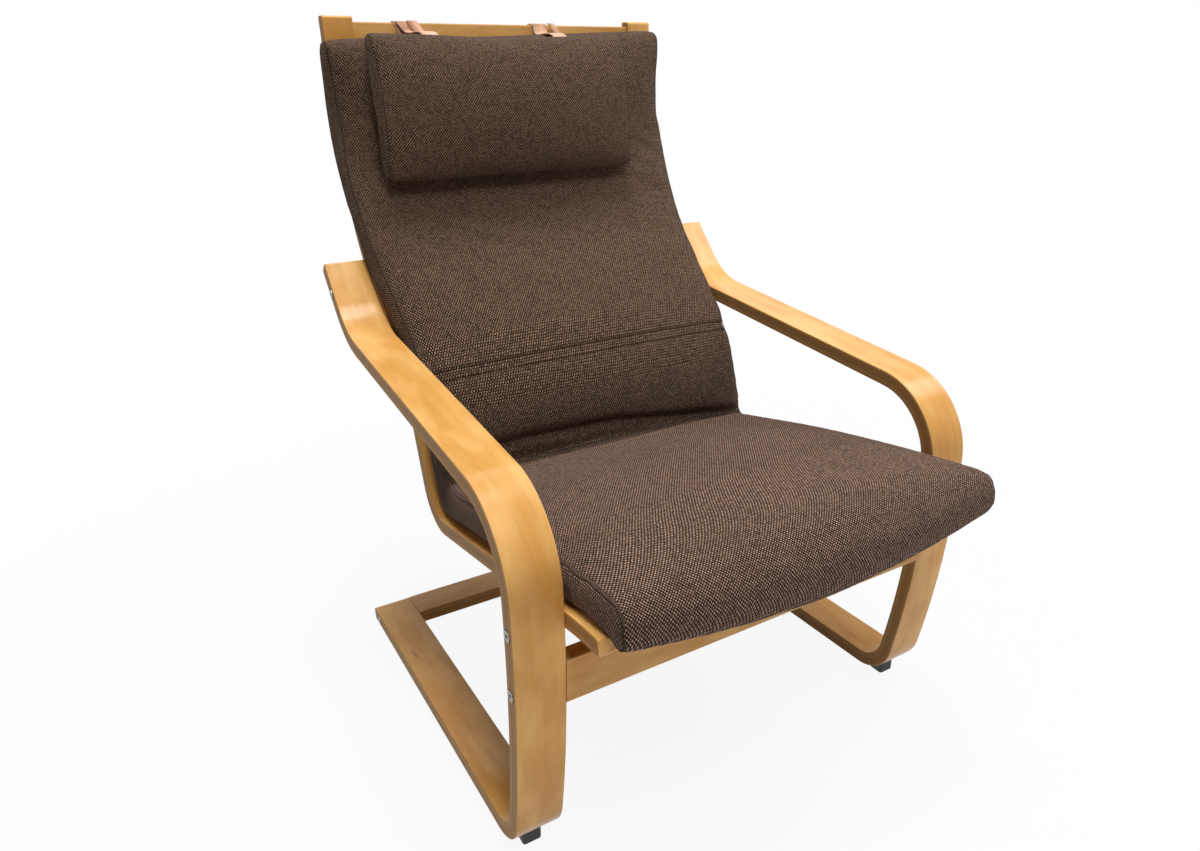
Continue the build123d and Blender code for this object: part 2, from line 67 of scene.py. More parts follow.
class BentLine:
    """Side view (y, z) of straight steps (length, 0) and bends (radius, turn in degrees)."""

    def __init__(self, start, heading, steps):
        self.parts = []
        point, angle, done = np.array(start, float), math.radians(heading), 0.0
        for size, turn in steps:
            bend = math.radians(turn)
            length = size * abs(bend) if turn else size
            self.parts.append((point, angle, size, bend, length, done))
            chord = 2 * size * math.sin(abs(bend) / 2) if turn else size
            point = point + towards(angle + bend / 2) * chord
            angle += bend
            done += length
        self.length = done

    def locate(self, points):
        """Distance along the line and offset to its left, for an array of side-view points."""
        points = np.asarray(points, float)
        best = np.full(len(points), 1e9)
        along, offset = np.zeros(len(points)), np.zeros(len(points))
        for index, (origin, angle, size, bend, length, done) in enumerate(self.parts):
            ahead, aside = towards(angle), towards(angle + math.pi / 2)
            away = points - origin
            if bend:
                sign = math.copysign(1, bend)
                spoke = away - aside * size * sign
                reach = np.hypot(*spoke.T)
                turned = np.arctan2(spoke @ ahead, -sign * (spoke @ aside))
                run, side = turned * size, sign * (size - reach)
            else:
                run, side = away @ ahead, away @ aside
            low = -1e9 if index == 0 else 0.0
            high = 1e9 if index == len(self.parts) - 1 else length
            miss = np.hypot(run - np.clip(run, low, high), side)
            nearer = miss < best
            best = np.where(nearer, miss, best)
            along = np.where(nearer, done + np.clip(run, low, high), along)
            offset = np.where(nearer, side, offset)
        return along, offset

    def part_at(self, along):
        """The step that holds a distance along the line, or the last one."""
        for part in self.parts:
            if along <= part[5] + part[4]:
                return part
        return self.parts[-1]

    def place(self, along, offset):
        """Side-view point at a distance along the line and an offset to its left."""
        origin, angle, size, bend, _, done = self.part_at(along)
        run, turned = along - done, 0.0
        step = towards(angle) * run
        if bend:
            turned = run / size * math.copysign(1, bend)
            step = towards(angle + turned / 2) * 2 * size * math.sin(abs(turned) / 2)
        return origin + step + towards(angle + turned + math.pi / 2) * offset

    def heading(self, along):
        """Heading in radians at a distance along the line."""
        _, angle, size, bend, _, done = self.part_at(along)
        return angle + (along - done) / size * math.copysign(1, bend) if bend else angle


# %% Arm frame and seat rail
RUNNER_REAR = (0.380, 0.023)
LEG_BOW = 12.0
LEG_LENGTH = 0.332
ARM_SLOPE = 6.465
TIP_SLOPE = 48.5
LEG_TOP_SLOPE = 180 - 75 - LEG_BOW
arm_line = BentLine(
    RUNNER_REAR,
    180,
    [
        (0.576, 0),
        (0.058, -75),
        (LEG_LENGTH / math.radians(LEG_BOW), -LEG_BOW),
        (0.100, ARM_SLOPE - LEG_TOP_SLOPE),
        (0.4352, 0),
        (0.130, TIP_SLOPE - ARM_SLOPE),
        (0.075, 0),
    ],
)
RAIL_FRONT = (-0.3883, 0.36495)
RAIL_STEPS = [
    (0.015, 0),
    (0.508, -6.75),
    (0.424, 0),
    (0.056, 86.5),
    (0.113, 0),
    (0.142, -28.75),
    (0.140, 0),
    (0.387, 44.0),
    (0.1155, 0),
]
rail_line = BentLine(RAIL_FRONT, -2.5, RAIL_STEPS)
print("arm strip", round(arm_line.length, 3), "m, seat rail", round(rail_line.length, 3), "m")


# %% [markdown]
# ## Shader sums as Python sums
# A finish is a sum of small patterns. Writing `1 - mask` or `ring * 0.4 + fleck` is easier to read than a
# list of Math nodes, so one small class wraps a socket and adds the nodes when it is used in a sum. Every
# node of a tree comes from one method, which takes its type, its settings and its sockets.


# %% Socket
class Socket:
    """An output socket. Arithmetic on it adds Math nodes to its tree."""

    def __init__(self, nodes, socket):
        self.nodes = nodes
        self.socket = socket

    def math(self, operation, *others):
        """A Math node that takes this socket first."""
        return self.nodes.math(operation, self, *others)

    def __add__(self, other):
        return self.math("ADD", other)

    def __sub__(self, other):
        return self.math("SUBTRACT", other)

    def __rsub__(self, other):
        return self.nodes.math("SUBTRACT", other, self)

    def __mul__(self, other):
        return self.math("MULTIPLY", other)

    def __truediv__(self, other):
        return self.math("DIVIDE", other)

    def __pow__(self, other):
        return self.math("POWER", other)

    def __abs__(self):
        return self.math("ABSOLUTE")

    __radd__, __rmul__ = __add__, __mul__


# %% Nodes and finishes
class Nodes:
    """The node tree of a material or a world, to which one method adds every kind of node."""

    def __init__(self, owner):
        owner.use_nodes = True
        self.tree = owner.node_tree
        self.tree.nodes.clear()

    def node(self, kind, settings=None, sockets=None, output=0):
        """Adds a node: its settings first, then the values or links of its sockets."""
        node = self.tree.nodes.new(kind)
        for name, value in (settings or {}).items():
            setattr(node, name, value)
        for name, value in (sockets or {}).items():
            if isinstance(value, Socket):
                self.tree.links.new(value.socket, node.inputs[name])
            else:
                node.inputs[name].default_value = value
        return Socket(self, node.outputs[output]) if node.outputs else None

    def math(self, operation, *values):
        return self.node("ShaderNodeMath", {"operation": operation}, dict(enumerate(values)))


class Finish(Nodes):
    """A material in the making, around one Principled shader."""

    def __init__(self, name, **constants):
        self.material = bpy.data.materials.new(name)
        super().__init__(self.material)
        surface = self.node("ShaderNodeBsdfPrincipled")
        self.shader = surface.socket.node
        self.node("ShaderNodeOutputMaterial", None, {"Surface": surface})
        for socket, value in constants.items():
            self.shader.inputs[socket.replace("_", " ")].default_value = value

    def feed(self, **sockets):
        """Links patterns to the shader's own sockets."""
        for name, value in sockets.items():
            self.tree.links.new(value.socket, self.shader.inputs[name.replace("_", " ")])

    def attribute(self, name):
        """The three numbers of a vector attribute, as separate sockets."""
        vector = self.node("ShaderNodeAttribute", {"attribute_name": name}, output="Vector")
        return [self.node("ShaderNodeSeparateXYZ", None, {0: vector}, axis) for axis in range(3)]

    def vector(self, x, y, z):
        return self.node("ShaderNodeCombineXYZ", None, {0: x, 1: y, 2: z})

    def noise(self, vector, scale, detail=2.0, roughness=0.5):
        sockets = {"Vector": vector, "Scale": scale, "Detail": detail, "Roughness": roughness}
        return self.node("ShaderNodeTexNoise", None, sockets)

    def speck(self, vector):
        """A different number from 0 to 1 for every whole-numbered cell."""
        return self.node("ShaderNodeTexWhiteNoise", None, {"Vector": vector})

    def step(self, value, low, high, to_low=0.0, to_high=1.0):
        """A smooth change from one number to another while a value goes from low to high."""
        sockets = {"Value": value, 1: low, 2: high, 3: to_low, 4: to_high}
        return self.node("ShaderNodeMapRange", {"interpolation_type": "SMOOTHSTEP"}, sockets)

    def blend(self, factor, first, second):
        """A colour between two colours."""
        colours = [(*c, 1) if isinstance(c, tuple) else c for c in (first, second)]
        sockets = {0: factor, 6: colours[0], 7: colours[1]}
        return self.node("ShaderNodeMix", {"data_type": "RGBA"}, sockets, 2)

    def bump(self, height, distance, strength):
        sockets = {"Height": height, "Distance": distance, "Strength": strength}
        return self.node("ShaderNodeBump", None, sockets)


def give(finish, *nodes):
    """Gives CAD nodes a finish."""
    for name in nodes:
        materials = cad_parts[name].data.materials
        materials.clear()
        materials.append(finish.material)
    print(finish.material.name, "on", ", ".join(nodes))


# %% [markdown]
# ## Laminated wood
# The strips are birch veneers glued in a bent mould and lacquered. Their broad faces show a honey colour
# with soft flames, fine growth lines and short dark flecks that all run along the strip, and their narrow
# edges show the layers. A texture fixed in space would cut straight through the bends, so each point of
# the wood first stores its own place in the unbent strip: distance along, distance across, and depth.


# %% Places in the unbent strip
def store(mesh, name, values):
    """Stores three numbers for each point of a mesh."""
    layer = mesh.attributes.new(name, "FLOAT_VECTOR", "POINT")
    layer.data.foreach_set("vector", np.asarray(values, np.float32).ravel())


def points_of(mesh, kind="co"):
    """The place or the normal of each point of a mesh."""
    flat = np.zeros(len(mesh.vertices) * 3, np.float32)
    mesh.vertices.foreach_get(kind, flat)
    return flat.reshape(-1, 3).astype(float)


def across_box(node):
    """The middle and the half of a node's width."""
    low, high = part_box(node)
    return (low.x + high.x) / 2, (high.x - low.x) / 2


STRIP_APART = 3.7
strip_count = 0


def store_strip(node, along, across, depth, half_width):
    """Stores the unbent place of a node, and how near each point is to the strip's edges."""
    global strip_count
    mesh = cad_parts[node].data
    strip_count += 1
    store(mesh, "strip", np.stack([along + STRIP_APART * strip_count, across, depth], axis=1))
    store(mesh, "rim", np.stack([across / half_width, along, depth], axis=1))


for hand in ("left", "right"):
    for node, line in ((f"{hand}_arm_frame", arm_line), (f"{hand}_seat_rail", rail_line)):
        places = points_of(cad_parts[node].data)
        middle, half = across_box(node)
        along, depth = line.locate(places[:, 1:])
        store_strip(node, along, places[:, 0] - middle, depth, half)

PLANK_SLOPES = {
    "front_cross_rail": 97.3,
    "rear_cross_rail": 180.0,
    "top_rail": 92.5,
    "lower_back_rail": 77.25,
}
for node, slope in PLANK_SLOPES.items():
    places = points_of(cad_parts[node].data)
    low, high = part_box(node)
    middle = (np.array(low) + np.array(high)) / 2
    across = (places[:, 1:] - middle[1:]) @ towards(math.radians(slope))
    depth = (places[:, 1:] - middle[1:]) @ towards(math.radians(slope + 90))
    store_strip(node, places[:, 0], across, depth, np.abs(across).max())
print("unbent places stored on", strip_count, "wooden pieces")

# %% Faces of the wood
wood = Finish("lacquered_birch", Coat_Roughness=0.18, Specular_IOR_Level=0.10)
along, across, depth = wood.attribute("strip")
rim = abs(wood.attribute("rim")[0])


def grain(lengthwise, sideways, detail, roughness=0.5):
    """Noise in the unbent strip, drawn out along the grain."""
    place = wood.vector(along * lengthwise, across * sideways, depth * sideways)
    return wood.noise(place, 1.0, detail, roughness)


flame = grain(2.6, 20.0, 3.0, 0.55)
cloud = grain(13.0, 34.0, 2.0)
fine = grain(25.0, 900.0, 2.0, 0.6)
fleck = wood.step(grain(90.0, 1300.0, 1.0), 0.70, 0.80)
knot = wood.step(grain(14.0, 60.0, 1.0), 0.77, 0.81)
ring_place = across * 42.0 + grain(1.5, 8.0, 2.0) * 9.0
ring_line = wood.step(abs(ring_place.math("FRACT") - 0.5), 0.36, 0.49)
tone = flame * 0.42 + cloud * 0.48 + fine * 0.10
WOOD_PALE = (0.86, 0.490, 0.165)
WOOD_HONEY = (0.68, 0.325, 0.073)
WOOD_LINE = (0.38, 0.150, 0.036)
WOOD_DARK = (0.16, 0.065, 0.020)
face_colour = wood.blend(wood.step(tone, 0.34, 0.64), WOOD_PALE, WOOD_HONEY)
face_colour = wood.blend(ring_line * wood.step(cloud, 0.30, 0.65) * 0.12, face_colour, WOOD_LINE)
face_colour = wood.blend(fleck * 0.22, face_colour, WOOD_LINE)
face_colour = wood.blend(knot * 0.45, face_colour, WOOD_DARK)

# %% Edges of the wood
PLY = 0.00245
EDGE_PALE, EDGE_BROWN = (0.52, 0.285, 0.105), (0.40, 0.205, 0.072)
GLUE_BROWN, VOID_BROWN = (0.16, 0.075, 0.026), (0.045, 0.018, 0.008)
ply_place = depth / PLY
ply_number = ply_place.math("FLOOR")
ply_shade = wood.speck(wood.vector(ply_number, 1.0, 2.0))
glue_line = wood.step(abs(ply_place.math("FRACT") - 0.5), 0.40, 0.49)
grain_end = wood.noise(wood.vector(along * 160.0, across * 400.0, depth * 1500.0), 1.0, 2.0, 0.6)
edge_tone = ply_shade * 0.6 + grain_end * 0.5
edge_colour = wood.blend(wood.step(edge_tone, 0.2, 0.9), EDGE_PALE, EDGE_BROWN)
edge_colour = wood.blend(glue_line * 0.22, edge_colour, GLUE_BROWN)
void_place = wood.vector(along * 16.0, depth * 330.0, ply_number)
void = wood.step(wood.noise(void_place, 1.0, 1.0), 0.74, 0.78)
edge_colour = wood.blend(void * 0.8, edge_colour, VOID_BROWN)
edge_mask = wood.step(rim, 0.955, 0.995)
wood.feed(
    Base_Color=wood.blend(edge_mask, face_colour, edge_colour),
    Roughness=wood.step(fine + flame * 0.5, 0.4, 1.0, 0.28, 0.38) + edge_mask * 0.20,
    Coat_Weight=0.32 - edge_mask * 0.30,
    Normal=wood.bump(fine * 0.6 - fleck * 0.8 - glue_line * edge_mask * 0.8, 0.00012, 0.55),
)
give(wood, "left_arm_frame", "right_arm_frame", "left_seat_rail", "right_seat_rail", *PLANK_SLOPES)

# %% [markdown]
# ## Steel, plastic and bare wood
# The connector bolts are zinc plated: grey, a little yellow, with fine turning marks. The feet and the
# sling's edge strips are moulded black plastic with a faint grain. Position in the chair is enough for
# these small pieces, so their patterns read the object's own coordinates.

# %% Small finishes
zinc = Finish("zinc_plated_steel", Metallic=1.0)
zinc_place = zinc.node("ShaderNodeTexCoord", output="Object")
brush = zinc.noise(zinc_place, 2600.0, 2.0, 0.6)
tarnish = zinc.noise(zinc_place, 260.0, 2.0, 0.6)
zinc.feed(
    Base_Color=zinc.blend(tarnish, (0.20, 0.18, 0.15), (0.34, 0.31, 0.26)),
    Roughness=brush * 0.22 + 0.22,
    Normal=zinc.bump(brush, 0.00003, 0.5),
)
give(zinc, "connector_bolts", "barrel_nuts", "foot_screws")

black_plastic = Finish("black_moulded_plastic")
plastic_place = black_plastic.node("ShaderNodeTexCoord", output="Object")
pebble = black_plastic.noise(plastic_place, 1500.0, 2.0, 0.6)
dust = black_plastic.step(black_plastic.noise(plastic_place, 90.0, 3.0, 0.6), 0.5, 0.8)
black_plastic.feed(
    Base_Color=black_plastic.blend(dust, (0.010, 0.010, 0.011), (0.035, 0.033, 0.030)),
    Roughness=pebble * 0.2 + 0.42,
    Normal=black_plastic.bump(pebble, 0.00006, 0.6),
)
give(black_plastic, "front_feet", "rear_feet", "left_sling_strip", "right_sling_strip")

bare_wood = Finish("bare_beech")
bare_place = bare_wood.node("ShaderNodeTexCoord", output="Object")
drawn_out = bare_wood.node("ShaderNodeMapping", None, {"Vector": bare_place, "Scale": (40, 900, 900)})
bare_grain = bare_wood.noise(drawn_out, 1.0)
bare_wood.feed(
    Base_Color=bare_wood.blend(bare_grain, (0.50, 0.31, 0.15), (0.66, 0.45, 0.25)),
    Roughness=bare_grain * 0.2 + 0.55,
    Normal=bare_wood.bump(bare_grain, 0.00008, 0.6),
)
give(bare_wood, "front_rail_dowels", "rear_rail_dowels", "top_rail_dowels", "lower_rail_dowels")

# %% [markdown]
# ## Basket weave
# The cover is a coarse plain weave of thick yarns: taupe bricks in rows and dark brown yarn between them,
# with painted shade towards the edges of the yarns and in the holes at their corners. Remeshing removes
# UVs, so each point of a cover stores its own place on the cloth: two distances in the cloth, and a third
# number that says how worn it is. The seat is faded, and where the number is below zero, in the fold,
# painted shade darkens the cloth.

# %% Weave finish
COVER_WARP = 0.00190
SLING_WARP = 0.0009
WEFT_SHARE = 1.5
STITCH_ROW = 0.0050


def weave_finish(name, warp, dark_yarn, pale_yarn, worn_yarn):
    """Pale bricks and a darker yarn in a plain weave, with painted shade at the yarn edges and in the holes
    at their corners.
    """
    cloth = Finish(name, Specular_IOR_Level=0.10, Sheen_Weight=0.03, Sheen_Roughness=0.5)
    wide, long, wear_and_shade = cloth.attribute("cloth")
    spot = cloth.vector(wide, long, wear_and_shade)
    sewn_row = abs(abs(cloth.attribute("sewn")[0]) - STITCH_ROW)
    sewn_line = cloth.step(sewn_row, 0.0006, 0.0022, 1.0, 0.0)
    drift = cloth.noise(spot, 55.0, 2.0, 0.5)
    column = wide / warp + drift * 1.6
    row = long / (warp * WEFT_SHARE) + drift * 1.1
    column_number = column.math("FLOOR")
    row_number = row.math("FLOOR")
    from_column = abs(column - column_number - 0.5) * 2
    from_row = abs(row - row_number - 0.5) * 2
    turn = (column_number + row_number) / 2
    over = turn.math("FRACT") * 2
    brick = over * (1 - from_row**2.5) * (1 - from_column**4 * 0.5)
    under = (1 - over) * (1 - from_column**3 * 0.8) * (1 - from_row**2 * 0.8)
    cell = cloth.speck(cloth.vector(column_number, row_number, 3.0))
    slub = cloth.speck(cloth.vector(column_number / 9, row_number, 5.0))
    fuzz = cloth.noise(spot, 2600.0, 2.0, 0.6)
    patch = cloth.noise(spot, 7.0, 3.0, 0.55)
    worn = cloth.step(wear_and_shade + patch * 0.8, 0.45, 1.05)
    # Painted shade: where the third number is below zero, in the fold above the seat, the cloth is
    # darkened.
    fold_shade = cloth.step(wear_and_shade, -0.5, 0.0, 0.38, 0.0)
    yarn = cloth.blend(over, dark_yarn, cloth.blend(worn, pale_yarn, worn_yarn))
    # Painted shade: each yarn darkens towards its edges and the holes at its corners go nearly black; cell,
    # slub and fuzz are the yarns' own tone.
    lit = (brick + under) * (0.36 + cell * 0.70 + slub * 0.20 + fuzz * 0.20)
    # Painted shade in the groove along each stitch row.
    lit = lit * (1 - sewn_line * 0.3) * (1 - fold_shade)
    colour = cloth.blend(lit, tuple(channel * 0.12 for channel in dark_yarn), yarn)
    lint_cell = cloth.speck(cloth.vector(column_number, row_number, 9.0))
    lint = cloth.step(lint_cell, 0.99982, 0.99992)
    cloth.feed(
        Base_Color=cloth.blend(lint * 0.5, colour, (0.40, 0.33, 0.26)),
        Roughness=0.96 - fuzz * 0.12,
        Normal=cloth.bump(brick + under * 0.7 + fuzz * 0.15 - sewn_line, warp * 0.6, 0.85),
    )
    return cloth


# %% Cover, sling and thread
COCOA, TAUPE, FADED = (0.042, 0.022, 0.014), (0.345, 0.220, 0.143), (0.500, 0.312, 0.228)
cover = weave_finish("brown_basket_weave", COVER_WARP, COCOA, TAUPE, FADED)
GREY, PALE_GREY = (0.030, 0.030, 0.031), (0.095, 0.094, 0.092)
sling_cloth = weave_finish("grey_sling_weave", SLING_WARP, GREY, PALE_GREY, PALE_GREY)
DARK_THREAD, PALE_THREAD = (0.034, 0.020, 0.014), (0.095, 0.060, 0.042)
THREAD_PLY = 0.0006
thread = weave_finish("dark_seam_thread", THREAD_PLY, DARK_THREAD, PALE_THREAD, PALE_THREAD)
print("warp yarns", round(COVER_WARP / MM, 2), "and", round(SLING_WARP / MM, 2), "mm apart")


# %% [markdown]
# ## Making padded pieces
# Foam in a tight cover swells between its seams. The plain CAD form is copied, cut into even small faces,
# and blown up a little as cloth with pressure inside and no gravity. No point may move further than a
# cap, so the piece keeps its size, and the result is kept as a plain mesh with one subdivision.


# %% Even copies
def add_object(name, data):
    """Puts a mesh, a lamp or a camera into the scene."""
    added = bpy.data.objects.new(name, data)
    bpy.context.collection.objects.link(added)
    return added


def keep_result(piece):
    """Turns the modifiers of a piece into its mesh."""
    shown = piece.evaluated_get(bpy.context.evaluated_depsgraph_get())
    result = bpy.data.meshes.new_from_object(shown)
    piece.modifiers.clear()
    piece.data = result


def set_points(mesh, places):
    mesh.vertices.foreach_set("co", np.asarray(places, np.float32).ravel())
    mesh.update()


def even_copy(node, name, voxel):
    """Copies a CAD node into a new piece with even faces."""
    piece = add_object(name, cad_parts[node].data.copy())
    piece.data.materials.clear()
    remesh = piece.modifiers.new("even", "REMESH")
    remesh.mode = "VOXEL"
    remesh.voxel_size = voxel
    keep_result(piece)
    piece.data.shade_smooth()
    print(name, len(piece.data.vertices), "points")
    return piece


# %% Swelling
def swell(piece, pressure, cap, rounds, frames=14):
    """Blows a closed piece up as cloth, caps the movement of its points and rounds its edges."""
    before = points_of(piece.data)
    cloth = piece.modifiers.new("swell", "CLOTH")
    cloth.settings.use_pressure = True
    cloth.settings.uniform_pressure_force = pressure
    cloth.settings.effector_weights.gravity = 0
    cloth.settings.quality = 4
    cloth.settings.mass = 0.3
    cloth.settings.tension_stiffness = 45
    cloth.settings.compression_stiffness = 45
    cloth.settings.bending_stiffness = 2.0
    cloth.point_cache.frame_start = 1
    cloth.point_cache.frame_end = frames
    for number in range(1, frames + 1):
        bpy.context.scene.frame_set(number)
    keep_result(piece)
    moved = points_of(piece.data) - before
    length = np.linalg.norm(moved, axis=1, keepdims=True)
    moved *= np.minimum(1, cap / np.maximum(length, 1e-9))
    set_points(piece.data, before + moved)
    smooth = piece.modifiers.new("even out", "SMOOTH")
    smooth.factor = 0.5
    smooth.iterations = rounds
    keep_result(piece)
    print(piece.name, "swelled by up to", round(float(length.max()) / MM, 1), "mm")


def groove(distance, width):
    """A soft valley: 1 in the middle, 0 a few widths away."""
    return np.exp(-((distance / width) ** 2))


# %% [markdown]
# ## Seat and back cushion
# The cushion is one long pad that folds between seat and back. Its sides are boxed, its upper part is a
# little wider and lies further to the left, and a double row of stitches crosses the small of the back.
# The width changes along the pad, so the even copy is first stretched to the photographed width, and
# then blown up as a cover.

# %% Width of the cushion
CUSHION_BASE = 0.0114
CUSHION_FACE = CUSHION_BASE + 0.056
CUSHION_TOP = rail_line.length - 0.022
TOP_SLANT, SLANT_FROM = 0.010, 1.0
CAD_HALF = across_box("cushion")[1]
width_stations = [-0.04, 0.10, 0.45, 0.60, 0.80, 0.95, 1.10, 1.30]
left_edges = [-0.271, -0.271, -0.271, -0.269, -0.272, -0.284, -0.290, -0.290]
right_edges = [0.275, 0.275, 0.273, 0.270, 0.270, 0.271, 0.272, 0.272]

cushion = even_copy("cushion", "seat_and_back_cushion", voxel=0.006)


def stretch_cushion():
    """Gives the cushion its photographed width along its length, and its slanting top."""
    places = points_of(cushion.data)
    along, _ = rail_line.locate(places[:, 1:])
    left = np.interp(along, width_stations, left_edges)
    right = np.interp(along, width_stations, right_edges)
    share = (places[:, 0] + CAD_HALF) / (2 * CAD_HALF)
    places[:, 0] = left + (right - left) * share
    rise = TOP_SLANT * (2 * share - 1) * np.clip((along - SLANT_FROM) / (CUSHION_TOP - SLANT_FROM), 0, 1)
    places[:, 1:] += rise[:, None] * towards(rail_line.heading(rail_line.length))
    set_points(cushion.data, places)


stretch_cushion()
swell(cushion, pressure=2.0, cap=0.011, rounds=12)

# %% [markdown]
# ### Folds of the cushion
# A used pad is not an even block. A crease runs across it just above the seat, the cloth puffs out from
# there to the stitches, and the boxed sides gather where the pad bends. Carved detail of this kind could
# be sculpted by hand, but a few soft valleys along the pad, pressed in along the normals, are easier to
# place and to change.

# %% Folds of the cushion
SEAT_END = 0.4988
LUMBAR_END = SEAT_END + 0.0845 + 0.113
STITCH_AT = LUMBAR_END + 0.036
STITCH_PRESS, STITCH_VALLEY = 0.0008, 0.010
ROLL_SHARES = [0, 0.25, 0.5, 0.75, 1]
ROLL_PLACES = [0.597, 0.615, 0.634, 0.638, 0.632]
ROLL_PRESS, ROLL_VALLEY = 0.0100, 0.0065
PUFF = 0.005
GATHER, GATHER_SPREAD = 0.0016, 0.10
WAVES_ALONG, WAVES_DEEP = 420, 60
FRONT_FROM, FRONT_FADE = 0.030, 0.012
SIDE_MARGIN, SIDE_FADE = 0.004, 0.020
waist_left, waist_right = left_edges[3], right_edges[3]


def shape_cushion():
    """Presses the stitched lines and the roll above the seat into the front of the cushion."""
    places = points_of(cushion.data)
    normals = points_of(cushion.data, "normal")
    along, offset = rail_line.locate(places[:, 1:])
    front = np.clip((offset - FRONT_FROM) / FRONT_FADE, 0, 1)
    to_edge = np.minimum(places[:, 0] - waist_left, waist_right - places[:, 0])
    inside = np.clip((to_edge - SIDE_MARGIN) / SIDE_FADE, 0, 1)
    share = (waist_right - places[:, 0]) / (waist_right - waist_left)
    roll_at = np.interp(share, ROLL_SHARES, ROLL_PLACES)
    press = STITCH_PRESS * groove(along - STITCH_AT, STITCH_VALLEY)
    press += ROLL_PRESS * groove(along - roll_at, ROLL_VALLEY)
    up_roll = np.clip((along - roll_at) / (STITCH_AT - roll_at), 0, 1)
    press -= PUFF * np.sin(math.pi * up_roll**0.7)
    press *= front * inside
    places -= normals * press[:, None]
    boxed = np.clip((np.abs(normals[:, 0]) - 0.6) / 0.3, 0, 1)
    gathered = boxed * groove(along - SEAT_END, GATHER_SPREAD)
    waves = np.sin(along * WAVES_ALONG + offset * WAVES_DEEP)
    places[:, 0] += np.sign(places[:, 0]) * GATHER * gathered * waves
    set_points(cushion.data, places)
    print("cushion pressed in by up to", round(float(press.max()) / MM, 1), "mm")


shape_cushion()


# %% Cloth of the cushion
BOXED_FROM = 0.72


def store_cloth(piece, wide, long, depth, fold, wear_and_shade):
    """Stores the place on the cloth: broad faces by width and length, boxed sides by length and depth.

    Where the cover turns over an end, fold carries the length on over the edge.
    """
    normals = points_of(piece.data, "normal")
    boxed = np.abs(normals[:, 0]) > BOXED_FROM
    first = np.where(boxed, long, wide)
    second = np.where(boxed, depth, long + fold)
    store(piece.data, "cloth", np.stack([first, second, wear_and_shade], axis=1))


places = points_of(cushion.data)
along, offset = rail_line.locate(places[:, 1:])
SEAT_FADE = 0.55
seat_wear = np.clip((SEAT_END + 0.05 - along) / 0.1, 0, 1)
over_end = np.interp(along, [0.04, 0.12, CUSHION_TOP - 0.10, CUSHION_TOP - 0.04], [1, 0, 0, -1])
on_front = offset > FRONT_FROM
# Painted shade: the fold between the seat and the stitches gets a number below zero, which darkens its
# cloth.
painted_fold_shade = np.interp(along, [SEAT_END, 0.60, 0.66, STITCH_AT + 0.03], [0, 0.5, 0.4, 0]) * on_front
wear_and_shade = SEAT_FADE * seat_wear - painted_fold_shade
store_cloth(cushion, places[:, 0], along, offset, over_end * (offset - CUSHION_FACE), wear_and_shade)
FAR_FROM_STITCHES = 0.1
from_stitches = np.where(on_front, along - STITCH_AT, FAR_FROM_STITCHES)
store(cushion.data, "sewn", np.stack([from_stitches, along, offset], axis=1))
cushion.data.materials.append(cover.material)
cushion.modifiers.new("smooth", "SUBSURF").levels = 1
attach(cushion, "chair")
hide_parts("cushion")
print("cover of the cushion", round(float(np.ptp(along)), 2), "m along the rails")

# %% [markdown]
# ## Head pillow
# The pillow is a boxed pad that hangs against the upper back. It swells more than the cushion because its
# filling is loose, and its top edge sags between the straps that carry it.

# %% Pillow
pillow = even_copy("head_pillow", "head_pillow_cover", voxel=0.005)
swell(pillow, pressure=3.0, cap=0.012, rounds=16)
pillow_low, pillow_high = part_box("head_pillow")
PILLOW_SLOPE = math.radians(86.2)
UP_PILLOW, OUT_OF_PILLOW = towards(PILLOW_SLOPE), towards(PILLOW_SLOPE + math.pi / 2)
PILLOW_SAG, SAG_AT_ENDS, SAG_REACH = 0.009, 0.3, 0.06
TURN_OVER = 0.03
places = points_of(pillow.data)
pillow_up = places[:, 1:] @ UP_PILLOW
pillow_out = places[:, 1:] @ OUT_OF_PILLOW
pillow_middle = (pillow_up.min() + pillow_up.max()) / 2
past_edge = np.clip((pillow_up - pillow_middle) / TURN_OVER, -1, 1) * (pillow_out.max() - pillow_out)
store_cloth(pillow, places[:, 0], pillow_up, pillow_out, past_edge, np.zeros(len(places)))
pillow_share = np.clip((places[:, 0] - pillow_low.x) / (pillow_high.x - pillow_low.x), 0, 1)
near_top = np.clip((pillow_up - pillow_up.max()) / SAG_REACH + 1, 0, 1)
bow = SAG_AT_ENDS + (1 - SAG_AT_ENDS) * np.sin(math.pi * pillow_share)
sag = PILLOW_SAG * bow * near_top
places[:, 1:] -= sag[:, None] * UP_PILLOW
set_points(pillow.data, places)
pillow.data.materials.append(cover.material)
pillow.modifiers.new("smooth", "SUBSURF").levels = 1
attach(pillow, "pillow")
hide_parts("head_pillow")

# %% [markdown]
# ## Seams and stitches
# The boxed sides are sewn to the broad faces, so a line of thread follows every long edge. Threads are
# thinner than the faces of the remeshed covers, so they are laid on afterwards: each point of a seam is
# the nearest point of the finished cover to a target just outside its edge. The double row across the
# small of the back is made of single stitches.
#
# A pad that is sat on also settles: its back comes forwards over the seat, the seat dips there, and the
# top edge sags. One function moves points that way, and the threads and the cover both go through it, so
# they stay together.


# %% Threads
def cover_tree(piece):
    mesh = piece.data
    return BVHTree.FromPolygons([v.co for v in mesh.vertices], [p.vertices for p in mesh.polygons])


def mesh_piece(name, points, faces, finish, body):
    """A new piece from points and faces, riding on a body."""
    mesh = bpy.data.meshes.new(name)
    mesh.from_pydata([tuple(p) for p in points], [], faces)
    mesh.update()
    mesh.shade_smooth()
    mesh.materials.append(finish.material)
    piece = add_object(name, mesh)
    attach(piece, body)
    return piece


